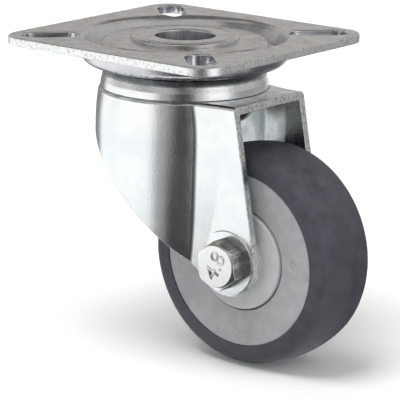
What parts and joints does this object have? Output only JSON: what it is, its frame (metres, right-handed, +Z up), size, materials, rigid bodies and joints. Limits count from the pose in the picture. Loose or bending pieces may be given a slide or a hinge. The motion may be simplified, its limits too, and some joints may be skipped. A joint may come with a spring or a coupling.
{
  "type": "swivel castor",
  "caption": "Swivel castor with a square slotted fixing plate, a pressed steel fork that turns on two rings of balls, and a wheel with a soft tyre on ball bearings.",
  "frame": {"origin": "centre of the plate's top face, on the swivel axis", "axes": "+Z up out of the fixing face, +X towards the side the wheel trails to, axle along Y with the bolt's head at -Y"},
  "size_m": [0.0778, 0.06, 0.072],
  "materials": {
    "plate_zinc": "satin zinc plating, dulled by handling",
    "fork_zinc": "bright zinc plating",
    "bolt_zinc": "bright zinc plating",
    "cup_steel": "zinc plating with a film of grease",
    "bearing_steel": "ground",
    "ball_steel": "polished",
    "cage_brass": "pressed",
    "insert_nylon": "natural nylon",
    "rim_plastic": "moulded, fine mottle",
    "tyre_rubber": "matt moulded rubber"
  },
  "bodies": {
    "mount": {"top_plate": "plate_zinc", "king_pin": "plate_zinc", "lower_cup": "cup_steel"},
    "fork": {"fork": "fork_zinc", "axle_bolt": "bolt_zinc", "axle_nut": "bolt_zinc", "nut_insert": "insert_nylon", "hub_spacer": "bearing_steel", "nut_side_spacer": "bearing_steel", "nut_side_thread_guard": "rim_plastic", "nut_side_bearing_inner_ring": "bearing_steel", "head_side_spacer": "bearing_steel", "head_side_thread_guard": "rim_plastic", "head_side_bearing_inner_ring": "bearing_steel"},
    "wheel": {"rim": "rim_plastic", "tyre": "tyre_rubber", "nut_side_bearing_outer_ring": "bearing_steel", "nut_side_outer_shield": "bearing_steel", "nut_side_inner_shield": "bearing_steel", "head_side_bearing_outer_ring": "bearing_steel", "head_side_outer_shield": "bearing_steel", "head_side_inner_shield": "bearing_steel"},
    "upper_ball_ring": {"upper_balls": "ball_steel"},
    "lower_ball_ring": {"lower_balls": "ball_steel"},
    "nut_side_ball_cage": {"nut_side_bearing_cage": "cage_brass", "nut_side_bearing_balls": "ball_steel"},
    "head_side_ball_cage": {"head_side_bearing_cage": "cage_brass", "head_side_bearing_balls": "ball_steel"}
  },
  "joints": [
    {"name": "swivel", "type": "hinge", "parent": "mount", "child": "fork", "pos_m": [0, 0, 0], "axis": [0, 0, 1], "continuous": true},
    {"name": "wheel_spin", "type": "hinge", "parent": "fork", "child": "wheel", "pos_m": [0.0228, 0, -0.047], "axis": [0, 1, 0], "continuous": true},
    {"name": "upper_ball_orbit", "type": "hinge", "parent": "mount", "child": "upper_ball_ring", "pos_m": [0, 0, 0], "axis": [0, 0, 1], "continuous": true},
    {"name": "lower_ball_orbit", "type": "hinge", "parent": "mount", "child": "lower_ball_ring", "pos_m": [0, 0, 0], "axis": [0, 0, 1], "continuous": true},
    {"name": "nut_side_cage_orbit", "type": "hinge", "parent": "fork", "child": "nut_side_ball_cage", "pos_m": [0.0228, 0, -0.047], "axis": [0, 1, 0], "continuous": true},
    {"name": "head_side_cage_orbit", "type": "hinge", "parent": "fork", "child": "head_side_ball_cage", "pos_m": [0.0228, 0, -0.047], "axis": [0, 1, 0], "continuous": true}
  ],
  "couplings": [
    {"joint": "upper_ball_orbit", "follows": "swivel", "ratio": 0.5},
    {"joint": "lower_ball_orbit", "follows": "swivel", "ratio": 0.5},
    {"joint": "nut_side_cage_orbit", "follows": "wheel_spin", "ratio": 0.64},
    {"joint": "head_side_cage_orbit", "follows": "wheel_spin", "ratio": 0.64}
  ]
}
